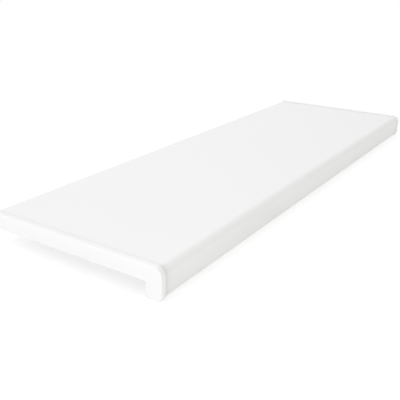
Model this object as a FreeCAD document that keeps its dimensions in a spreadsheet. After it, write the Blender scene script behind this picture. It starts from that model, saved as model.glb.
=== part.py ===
import FreeCAD, Part
import Sketcher
import math
import os

# Window sill board: a hollow extruded board with a rounded, down-turned nose, and an end cap
# pushed over each of its cut ends.
# +X runs along the board, -Y is the nose, +Y the edge at the window, +Z is up.
# The origin is under the middle of the board, level with the feet of the end caps.

# Driving dimensions, in millimetres
SIZES = {
    "board_length": 925.0,
    "board_depth": 300.0,
    "slab_thickness": 20.0,
    "nose_height": 41.5,
    "lip_thickness": 21.5,
    "nose_top_radius": 11.0,
    "nose_foot_radius": 6.5,
    "lip_foot_radius": 0.6,
    "rebate_radius": 3.6,
    "back_edge_radius": 0.8,
    "top_wall": 2.5,
    "bottom_wall": 2.0,
    "nose_wall": 2.5,
    "lip_wall": 2.0,
    "back_wall": 2.0,
    "rib_wall": 1.4,
    "chamber_pitch": 31.0,
    "chamber_corner": 0.8,
    "cap_plate": 2.5,
    "cap_skirt": 7.0,
    "cap_wall": 1.8,
    "cap_clearance": 0.2,
    "cap_face_radius": 2.2,
    "cap_mouth_radius": 1.6,
}

SAME_PLACE = 1e-6
SAME_VOLUME = 1e-4


class Size:
    """A length or a count, with the sheet expression that drives it."""

    def __init__(self, value, text):
        self.value = value
        self.text = text

    def __add__(self, other):
        return Size(self.value + other.value, f"({self.text} + {other.text})")

    def __sub__(self, other):
        return Size(self.value - other.value, f"({self.text} - {other.text})")

    def __truediv__(self, other):
        return Size(self.value / other.value, f"({self.text} / {other.text})")

    def __mul__(self, factor):
        return Size(self.value * factor, f"({self.text} * {factor})")

    def __neg__(self):
        return Size(-self.value, f"(-{self.text})")


def size(name):
    return Size(SIZES[name], f"dims.{name}")


def whole(number):
    return Size(round(number.value), f"round({number.text})")


def smaller(first, second):
    return Size(min(first.value, second.value), f"min({first.text}; {second.text})")


def larger(first, second):
    return Size(max(first.value, second.value), f"max({first.text}; {second.text})")


# The board's section, across Y and up from the foot of the nose
NO_GROWTH = size("cap_clearance") * 0.0
FRONT = size("board_depth") * -0.5
BACK = size("board_depth") * 0.5
TOP = size("nose_height")
FOOT = NO_GROWTH
SLAB_UNDERSIDE = size("nose_height") - size("slab_thickness")
LIP_BACK = FRONT + size("lip_thickness")
SLAB_FLOOR = SLAB_UNDERSIDE + size("bottom_wall")
SLAB_CEILING = TOP - size("top_wall")

# What the caps add round that section
SOCKET_GROWTH = size("cap_clearance")
CAP_GROWTH = size("cap_clearance") + size("cap_wall")


def fill_sheet(doc):
    """The sheet that holds the driving dimensions, one in each row."""
    sheet = doc.addObject("Spreadsheet::Sheet", "dims")
    for row, (name, value) in enumerate(SIZES.items(), 1):
        sheet.set(f"A{row}", name)
        sheet.set(f"B{row}", str(value))
        sheet.setAlias(f"B{row}", name)
    doc.recompute()


def bind(thing, **drivers):
    """Drive properties of a feature from the sheet."""
    for path, driver in drivers.items():
        thing.setExpression(path, driver.text)


def bind_place(body, axis, driver):
    """Drive where a body stands along one axis from the sheet."""
    body.setExpression(f"Placement.Base.{axis}", driver.text)


def across_sketch(body, name):
    """A sketch across the board: its own X runs along +Y, and its own Y along +Z."""
    sketch = body.newObject("Sketcher::SketchObject", name)
    plane = next(item for item in body.Origin.OriginFeatures if item.Role == "YZ_Plane")
    sketch.AttachmentSupport = (plane, [""])
    sketch.MapMode = "FlatFace"
    return sketch


def named_constraint(sketch, name, driver, kind, *where):
    """A dimension in the sketch that the sheet drives."""
    index = sketch.addConstraint(Sketcher.Constraint(kind, *where, driver.value))
    sketch.renameConstraint(index, name)
    sketch.setExpression(f"Constraints.{name}", driver.text)


def draw_side(sketch, corner, following):
    """One straight side of an outline, from the end of a corner's arc to the start of the next.

    Returns the side's number, and whether it is level."""
    level = abs(corner[1].value - following[1].value) < SAME_PLACE
    run = FreeCAD.Vector(following[0].value - corner[0].value, following[1].value - corner[1].value)
    run.normalize()
    start = FreeCAD.Vector(corner[0].value, corner[1].value) + run * corner[2].value
    finish = FreeCAD.Vector(following[0].value, following[1].value) - run * following[2].value
    side = sketch.addGeometry(Part.LineSegment(start, finish))
    sketch.addConstraint(Sketcher.Constraint("Horizontal" if level else "Vertical", side))
    return side, level


def draw_corner_arc(sketch, corner, side_in, side_out):
    """The arc between two sides, and whether it starts on the side that comes in."""
    start = sketch.Geometry[side_in].EndPoint
    finish = sketch.Geometry[side_out].StartPoint
    sharp = FreeCAD.Vector(corner[0].value, corner[1].value)
    centre = start + finish - sharp
    starts_in = (sharp - start).cross(finish - sharp).z > 0
    first, last = (start - centre, finish - centre) if starts_in else (finish - centre, start - centre)
    circle = Part.Circle(centre, FreeCAD.Vector(0, 0, 1), corner[2].value)
    arc = Part.ArcOfCircle(circle, math.atan2(first.y, first.x), math.atan2(last.y, last.x))
    return sketch.addGeometry(arc), starts_in


def draw_outline(sketch, corners):
    """A closed outline of level and upright sides with rounded corners.

    Each corner is its sharp place across and up, and its radius."""
    corner_start, corner_end = 1, 2
    origin, origin_point = -1, 1
    count = len(corners)
    sides = [draw_side(sketch, corners[i], corners[(i + 1) % count]) for i in range(count)]
    for i, corner in enumerate(corners):
        side_in = sides[i - 1][0]
        side_out = sides[i][0]
        arc, starts_in = draw_corner_arc(sketch, corner, side_in, side_out)
        near = corner_start if starts_in else corner_end
        far = corner_end if starts_in else corner_start
        sketch.addConstraint(Sketcher.Constraint("Tangent", side_in, corner_end, arc, near))
        sketch.addConstraint(Sketcher.Constraint("Tangent", arc, far, side_out, corner_start))
        named_constraint(sketch, f"corner_{i}", corner[2], "Radius", arc)
    for i, (side, level) in enumerate(sides):
        kind = "DistanceY" if level else "DistanceX"
        place = corners[i][1] if level else corners[i][0]
        named_constraint(sketch, f"side_{i}", place, kind, origin, origin_point, side, corner_start)


def section_corners(growth):
    """The corners of the board's section, grown outwards by a cap's clearance and wall."""
    return [
        (LIP_BACK + growth, FOOT - growth, size("lip_foot_radius") + growth),
        (FRONT - growth, FOOT - growth, size("nose_foot_radius") + growth),
        (FRONT - growth, TOP + growth, size("nose_top_radius") + growth),
        (BACK + growth, TOP + growth, size("back_edge_radius") + growth),
        (BACK + growth, SLAB_UNDERSIDE - growth, size("back_edge_radius") + growth),
        (LIP_BACK + growth, SLAB_UNDERSIDE - growth, size("rebate_radius") - growth),
    ]


def front_corner(skin_radius, width, height):
    """The radius of a chamber's front corner that follows a rounding of the nose."""
    corner = size("chamber_corner")
    followed = larger(skin_radius - size("nose_wall"), corner)
    return smaller(followed, smaller(width, height) - corner)


def chamber_corners(front, back, foot, top, front_foot_radius, front_top_radius):
    """The corners of a chamber inside the section, whose two front corners may be larger."""
    corner = size("chamber_corner")
    return [
        (back, foot, corner),
        (front, foot, front_foot_radius),
        (front, top, front_top_radius),
        (back, top, corner),
    ]


def check_cut(before, after, sketch, run, copies=1):
    """Stop if a pocket took away something other than its sketch times its run."""
    wanted = Part.Face(sketch.Shape.Wires).Area * run.value * copies
    removed = before.Shape.Volume - after.Shape.Volume
    if abs(removed - wanted) > SAME_VOLUME * wanted:
        raise RuntimeError(f"{after.Label} removed {removed:.1f} mm3 in place of {wanted:.1f}")


def cut_chamber(doc, body, name, corners, before):
    """A chamber that runs through the whole board."""
    sketch = across_sketch(body, f"{name}_section")
    draw_outline(sketch, corners)
    pocket = body.newObject("PartDesign::Pocket", name)
    pocket.Profile = sketch
    pocket.SideType = "Symmetric"
    bind(pocket, Length=size("board_length"))
    doc.recompute()
    check_cut(before, pocket, sketch, size("board_length"))
    return pocket, sketch


def cut_nose_chambers(doc, body, before):
    """The two chambers of the nose: one beside the slab, and one in the lip below it."""
    front = FRONT + size("nose_wall")
    back = LIP_BACK - size("lip_wall")
    floor = FOOT + size("bottom_wall")
    corner = size("chamber_corner")

    top_corner = front_corner(size("nose_top_radius"), back - front, SLAB_CEILING - SLAB_FLOOR)
    nose = chamber_corners(front, back, SLAB_FLOOR, SLAB_CEILING, corner, top_corner)
    nose_chamber, _ = cut_chamber(doc, body, "nose_chamber", nose, before)

    foot_corner = front_corner(size("nose_foot_radius"), back - front, SLAB_UNDERSIDE - floor)
    lip = chamber_corners(front, back, floor, SLAB_UNDERSIDE, foot_corner, corner)
    lip_chamber, _ = cut_chamber(doc, body, "lip_chamber", lip, nose_chamber)
    return lip_chamber


def cut_slab_chambers(doc, body, before):
    """The row of like chambers behind the nose, with a rib between each two."""
    rib = size("rib_wall")
    corner = size("chamber_corner")
    row = BACK - size("back_wall") - LIP_BACK
    count = whole((row + rib) / size("chamber_pitch"))
    spacing = (row + rib) / count
    first_back = LIP_BACK + spacing - rib
    first = chamber_corners(LIP_BACK, first_back, SLAB_FLOOR, SLAB_CEILING, corner, corner)
    slab_chamber, section = cut_chamber(doc, body, "slab_chamber", first, before)

    chambers = body.newObject("PartDesign::LinearPattern", "slab_chambers")
    chambers.Originals = [slab_chamber]
    chambers.Direction = (section, ["H_Axis"])
    bind(chambers, Occurrences=count, Length=row + rib - spacing)
    doc.recompute()
    check_cut(before, chambers, section, size("board_length"), count.value)
    return chambers


def make_board(doc):
    """The extruded board: its outer skin, the nose's two chambers and the slab's row of chambers."""
    body = doc.addObject("PartDesign::Body", "sill_board")
    section = across_sketch(body, "board_section")
    draw_outline(section, section_corners(NO_GROWTH))
    skin = body.newObject("PartDesign::Pad", "board_extrusion")
    skin.Profile = section
    skin.SideType = "Symmetric"
    bind(skin, Length=size("board_length"))
    doc.recompute()

    lip_chamber = cut_nose_chambers(doc, body, skin)
    body.Tip = cut_slab_chambers(doc, body, lip_chamber)
    return body


def rim_edges(shape, place):
    """The edges round the outline of the flat face that stands at one place along X."""
    rim = next(
        face for face in shape.Faces
        if abs(face.BoundBox.XMin - place) < SAME_PLACE and abs(face.BoundBox.XMax - place) < SAME_PLACE
    )
    return [
        f"Edge{number}" for number, edge in enumerate(shape.Edges, 1)
        if any(edge.isSame(other) for other in rim.OuterWire.Edges)
    ]


def round_rim(doc, body, name, base, place, radius):
    """Round the outline of the flat face that stands at one place along X."""
    fillet = body.newObject("PartDesign::Fillet", name)
    fillet.Base = (base, rim_edges(base.Shape, place))
    bind(fillet, Radius=radius)
    doc.recompute()
    return fillet


def make_cap(doc, name, side):
    """An end cap, in its own frame: the board's cut end seats on its plate at X = 0.

    side is -1 for the cap at the board's -X end, and 1 for the one at its +X end."""
    plate = size("cap_plate")
    skirt = size("cap_skirt")
    body = doc.addObject("PartDesign::Body", name)

    outline = across_sketch(body, f"{name}_outline")
    outline.setExpression("AttachmentOffset.Base.z", (plate * side).text)
    draw_outline(outline, section_corners(CAP_GROWTH))
    block = body.newObject("PartDesign::Pad", f"{name}_block")
    block.Profile = outline
    block.Reversed = side > 0
    bind(block, Length=plate + skirt)
    doc.recompute()

    opening = across_sketch(body, f"{name}_socket_outline")
    draw_outline(opening, section_corners(SOCKET_GROWTH))
    socket = body.newObject("PartDesign::Pocket", f"{name}_socket")
    socket.Profile = opening
    socket.Reversed = side < 0
    bind(socket, Length=skirt)
    doc.recompute()
    check_cut(block, socket, opening, skirt)

    face = round_rim(doc, body, f"{name}_face_edge", socket,
                     side * plate.value, smaller(size("cap_face_radius"), plate * 0.9))
    mouth = round_rim(doc, body, f"{name}_mouth_edge", face,
                      -side * skirt.value, smaller(size("cap_mouth_radius"), size("cap_wall") * 0.9))
    body.Tip = mouth
    bind_place(body, "x", size("board_length") * (0.5 * side))
    return body


def check_document(doc, bodies):
    """Stop if any feature has failed, or any piece is not one sound solid."""
    for item in doc.Objects:
        if "Invalid" in item.State or "Error" in item.State:
            raise RuntimeError(f"{item.Label} is {item.State}")
    for body in bodies:
        shape = body.Shape
        if shape.isNull() or not shape.isValid() or len(shape.Solids) != 1:
            raise RuntimeError(f"{body.Label} is not one sound solid")


def main():
    doc = FreeCAD.newDocument("window_sill_board")
    fill_sheet(doc)
    bodies = [
        make_board(doc),
        make_cap(doc, "end_cap_left", -1),
        make_cap(doc, "end_cap_right", 1),
    ]
    for body in bodies:
        bind_place(body, "z", CAP_GROWTH)
    doc.recompute()
    check_document(doc, bodies)

    os.makedirs("parts", exist_ok=True)
    for body in bodies:
        body.Shape.exportStep(f"parts/{body.Label}.step")
        box = body.Shape.optimalBoundingBox(False)
        print(f"{body.Label}: {box.XLength:.2f} x {box.YLength:.2f} x {box.ZLength:.2f} mm, "
              f"from {box.XMin:.2f}, {box.YMin:.2f}, {box.ZMin:.2f}, "
              f"{body.Shape.Volume / 1000:.1f} cm3")


main()
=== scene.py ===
from math import cos, radians, sin

import bpy
from mathutils import Matrix, Vector


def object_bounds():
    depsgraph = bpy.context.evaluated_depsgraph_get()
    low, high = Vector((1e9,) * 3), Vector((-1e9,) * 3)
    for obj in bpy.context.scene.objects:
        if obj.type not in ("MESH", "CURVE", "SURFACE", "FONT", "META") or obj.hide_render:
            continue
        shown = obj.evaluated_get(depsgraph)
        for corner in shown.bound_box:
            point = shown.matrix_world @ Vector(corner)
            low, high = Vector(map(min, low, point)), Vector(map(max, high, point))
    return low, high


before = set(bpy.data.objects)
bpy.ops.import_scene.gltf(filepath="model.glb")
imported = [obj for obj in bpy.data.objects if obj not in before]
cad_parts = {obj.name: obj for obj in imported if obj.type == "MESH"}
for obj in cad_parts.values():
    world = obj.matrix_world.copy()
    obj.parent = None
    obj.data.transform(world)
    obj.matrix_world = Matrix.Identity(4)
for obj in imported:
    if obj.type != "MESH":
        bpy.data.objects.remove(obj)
cad_low, cad_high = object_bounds()
MIDDLE = (cad_low + cad_high) / 2

# Camera, in the part's own frame. Its focal length is in pixels of an image of this side.
IMAGE_SIDE = 400
CAMERA_PLACE = Vector((-0.947794, -0.525264, 0.374142))
CAMERA_AZIMUTH = radians(-56.41)
CAMERA_ELEVATION = radians(21.618)
CAMERA_ROLL = radians(0.581)
CAMERA_FOCUS = 593.8
SENSOR_WIDTH = 36.0

# Colours, as linear light
WHITE = (1.0, 1.0, 1.0)
BOARD_WHITE = (0.903, 0.906, 0.909)
CAP_WHITE = (0.907, 0.909, 0.912)
# Painted shade on the board beside the -X cap's joint
PAINTED_SHADE_GREY = (0.30, 0.295, 0.27)
FRONT_LAMP_YELLOW = (1.0, 0.99, 0.5)

# Both plastics: how their tone drifts, how fine their grain is, and how shiny they are
DRIFT_SCALE = 5.0
DRIFT_DETAIL = 3.0
DARKEST_TONE = 0.992
LIGHTEST_TONE = 1.008
GRAIN_DETAIL = 2.0
ROUGHNESS_SWING = 0.04
SPECULAR_LEVEL = 0.35

# Each plastic's own roughness and grain, in metres
BOARD_FINISH = {"roughness": 0.42, "grain_size": 0.0006, "grain_depth": 0.00002}
CAP_FINISH = {"roughness": 0.36, "grain_size": 0.0009, "grain_depth": 0.00001}

# Painted shade along the joint with the -X cap, where the cap's proud rim shades the board: where
# it starts, how strong it is, and how far it reaches on the nose, below one level, and on the top,
# above the other
JOINT_PLACE = -0.4555
PAINTED_SHADE_STRENGTH = 0.30
NOSE_LEVEL = 0.0425
TOP_LEVEL = 0.0435
NOSE_REACH = 0.0055
TOP_REACH = 0.0020

# Floor: what it gives back to the part, and what is seen of it, which is lifted by a glow
FLOOR_SIZE = 5.0
FLOOR_WHITE = (0.93, 0.93, 0.93)
FLOOR_SEEN_WHITE = (0.43, 0.43, 0.43)
FLOOR_GLOW = 0.67

# Light: the world's, and each lamp's place from the middle of the part, its side and its power.
# The left lamp is small and low, so its image in the top's gloss would burn a patch there.
WORLD_LIGHT = 0.622
WORLD_SEEN = 1.0
LAMPS = {
    "left_lamp": {"offset": (-2.6, -1.2, 0.8), "side": 1.0, "power": 17.1, "mirrored": False},
    "back_lamp": {"offset": (-2.0, 2.0, 2.83), "side": 3.0, "power": 33.9},
    "top_lamp": {"offset": (2.5, 2.0, 4.0), "side": 3.0, "power": 48.1},
    "front_lamp": {"offset": (-1.0, -3.9, 1.2), "side": 3.0, "power": 8.0,
                   "colour": FRONT_LAMP_YELLOW},
}

# A colour Mix node's sockets go by number, because its other kinds of data share their names
MIX_SHARE = 0
MIX_FIRST = 6
MIX_SECOND = 7
MIX_RESULT = 2


class Nodes:
    """A node tree being filled in."""

    def __init__(self, tree):
        self.tree = tree
        tree.nodes.clear()

    def add(self, kind, **values):
        """A node with its properties set, and its inputs set or linked by name or number."""
        node = self.tree.nodes.new(kind)
        inputs = values.pop("inputs", {})
        for name, value in values.items():
            setattr(node, name, value)
        for name, value in inputs.items():
            if isinstance(value, bpy.types.NodeSocket):
                self.tree.links.new(value, node.inputs[name])
            else:
                node.inputs[name].default_value = value
        return node

    def math(self, operation, *operands, **values):
        """The result of one operation on its operands."""
        node = self.add("ShaderNodeMath", operation=operation, inputs=dict(enumerate(operands)),
                        **values)
        return node.outputs[0]

    def mix_colours(self, share, first, second):
        """The first colour, with this share of the second."""
        node = self.add("ShaderNodeMix", data_type="RGBA",
                        inputs={MIX_SHARE: share, MIX_FIRST: first, MIX_SECOND: second})
        return node.outputs[MIX_RESULT]

    def mix_shaders(self, share, first, second):
        """The first shader, with this share of the second."""
        node = self.add("ShaderNodeMixShader",
                        inputs={0: share, 1: first.outputs[0], 2: second.outputs[0]})
        return node.outputs[0]

    def seen_directly(self):
        """1 where the camera sees a surface itself, or its image in gloss or glass, otherwise 0."""
        path = self.add("ShaderNodeLightPath")
        mirrored = self.math("MAXIMUM", path.outputs["Is Glossy Ray"],
                             path.outputs["Is Transmission Ray"])
        return self.math("MAXIMUM", path.outputs["Is Camera Ray"], mirrored)


def opaque(colour):
    return (*colour, 1.0)


def toned(colour, tone):
    return opaque([channel * tone for channel in colour])


def new_material(name):
    material = bpy.data.materials.new(name)
    material.use_nodes = True
    return material, Nodes(material.node_tree)


def painted_joint_shade(nodes, place):
    """How strongly painted shade greys the board beside its -X cap: it fades out along the board,
    soonest on the top.
    """
    axes = nodes.add("ShaderNodeSeparateXYZ", inputs={"Vector": place})
    from_joint = nodes.math("SUBTRACT", JOINT_PLACE, axes.outputs["X"])
    reach = nodes.add("ShaderNodeMapRange", inputs={"Value": axes.outputs["Z"],
                                                    "From Min": NOSE_LEVEL, "From Max": TOP_LEVEL,
                                                    "To Min": NOSE_REACH, "To Max": TOP_REACH})
    fade = nodes.math("EXPONENT", nodes.math("DIVIDE", from_joint, reach.outputs["Result"]))
    return nodes.math("MULTIPLY", fade, PAINTED_SHADE_STRENGTH, use_clamp=True)


def plastic(name, colour, roughness, grain_size, grain_depth, joint_shade_painted=False):
    """A satin white plastic: soft tone drift, fine grain and a little change of gloss, with painted
    shade beside the -X cap's joint where asked.
    """
    material, nodes = new_material(name)
    place = nodes.add("ShaderNodeTexCoord").outputs["Object"]
    drift = nodes.add("ShaderNodeTexNoise", inputs={"Vector": place, "Scale": DRIFT_SCALE,
                                                    "Detail": DRIFT_DETAIL})
    finish = nodes.mix_colours(drift.outputs["Fac"], toned(colour, DARKEST_TONE),
                               toned(colour, LIGHTEST_TONE))
    # Painted shade: the board greyed beside the -X cap's joint, where the rim shades it
    if joint_shade_painted:
        finish = nodes.mix_colours(painted_joint_shade(nodes, place), finish, opaque(PAINTED_SHADE_GREY))
    grain = nodes.add("ShaderNodeTexNoise", inputs={"Vector": place, "Scale": 1.0 / grain_size,
                                                    "Detail": GRAIN_DETAIL})
    gloss = nodes.add("ShaderNodeMapRange", inputs={"Value": grain.outputs["Fac"],
                                                    "To Min": roughness - ROUGHNESS_SWING,
                                                    "To Max": roughness + ROUGHNESS_SWING})
    bump = nodes.add("ShaderNodeBump", inputs={"Height": grain.outputs["Fac"], "Strength": 1.0,
                                               "Distance": grain_depth})
    shader = nodes.add("ShaderNodeBsdfPrincipled", inputs={"Base Color": finish,
                                                           "Roughness": gloss.outputs["Result"],
                                                           "Specular IOR Level": SPECULAR_LEVEL,
                                                           "Normal": bump.outputs["Normal"]})
    nodes.add("ShaderNodeOutputMaterial", inputs={"Surface": shader.outputs["BSDF"]})
    return material


def dress(node, material):
    """Give a piece of the frame its finish."""
    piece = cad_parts[node]
    for material_slot in piece.material_slots:
        material_slot.material = material


def make_camera():
    """The scene's camera: placed, aimed, rolled and focused by the values above."""
    back = Vector((sin(CAMERA_AZIMUTH) * cos(CAMERA_ELEVATION),
                   -cos(CAMERA_AZIMUTH) * cos(CAMERA_ELEVATION),
                   sin(CAMERA_ELEVATION)))
    right = Vector((cos(CAMERA_AZIMUTH), sin(CAMERA_AZIMUTH), 0.0))
    up = back.cross(right)
    rolled_right = right * cos(CAMERA_ROLL) + up * sin(CAMERA_ROLL)
    rolled_up = up * cos(CAMERA_ROLL) - right * sin(CAMERA_ROLL)
    turn = Matrix((rolled_right, rolled_up, back)).transposed()
    data = bpy.data.cameras.new("camera")
    data.sensor_width = SENSOR_WIDTH
    data.lens = CAMERA_FOCUS / IMAGE_SIDE * SENSOR_WIDTH
    camera = bpy.data.objects.new("camera", data)
    camera.matrix_world = Matrix.Translation(CAMERA_PLACE) @ turn.to_4x4()
    bpy.context.scene.collection.objects.link(camera)
    bpy.context.scene.camera = camera


def make_floor():
    """A plain pale floor, seen near white with the part's shadow faint on it."""
    bpy.ops.mesh.primitive_plane_add(size=FLOOR_SIZE, location=(MIDDLE.x, MIDDLE.y, 0.0))
    floor = bpy.context.object
    floor.name = "floor"
    material, nodes = new_material("floor_white")
    matt = nodes.add("ShaderNodeBsdfDiffuse", inputs={"Color": opaque(FLOOR_WHITE)})
    pale = nodes.add("ShaderNodeBsdfDiffuse", inputs={"Color": opaque(FLOOR_SEEN_WHITE)})
    glow = nodes.add("ShaderNodeEmission", inputs={"Color": opaque(WHITE), "Strength": FLOOR_GLOW})
    lifted = nodes.add("ShaderNodeAddShader", inputs={0: pale.outputs[0], 1: glow.outputs[0]})
    surface = nodes.mix_shaders(nodes.seen_directly(), matt, lifted)
    nodes.add("ShaderNodeOutputMaterial", inputs={"Surface": surface})
    floor.data.materials.append(material)


def make_world():
    """Even white light all round, seen as plain white."""
    world = bpy.data.worlds.new("world")
    world.use_nodes = True
    nodes = Nodes(world.node_tree)
    light = nodes.add("ShaderNodeBackground", inputs={"Color": opaque(WHITE),
                                                      "Strength": WORLD_LIGHT})
    white = nodes.add("ShaderNodeBackground", inputs={"Color": opaque(WHITE),
                                                      "Strength": WORLD_SEEN})
    surface = nodes.mix_shaders(nodes.seen_directly(), light, white)
    nodes.add("ShaderNodeOutputWorld", inputs={"Surface": surface})
    bpy.context.scene.world = world


def make_lamp(name, offset, side, power, colour=WHITE, mirrored=True):
    """A square soft lamp, aimed at the middle of the part. Gloss shows it where it is mirrored."""
    data = bpy.data.lights.new(name, "AREA")
    data.shape = "SQUARE"
    data.size = side
    data.energy = power
    data.color = colour
    lamp = bpy.data.objects.new(name, data)
    lamp.visible_glossy = mirrored
    lamp.location = MIDDLE + Vector(offset)
    lamp.rotation_mode = "QUATERNION"
    lamp.rotation_quaternion = (-Vector(offset)).to_track_quat("-Z", "Y")
    bpy.context.scene.collection.objects.link(lamp)


# The board gets painted shade beside the -X cap's joint
board = plastic("board_plastic_look", BOARD_WHITE, joint_shade_painted=True, **BOARD_FINISH)
cap = plastic("cap_plastic_look", CAP_WHITE, **CAP_FINISH)
dress("sill_board", board)
dress("end_cap_left", cap)
dress("end_cap_right", cap)

make_floor()
make_world()
for lamp_name, lamp_values in LAMPS.items():
    make_lamp(lamp_name, **lamp_values)
make_camera()

bpy.context.scene.view_settings.view_transform = "Standard"
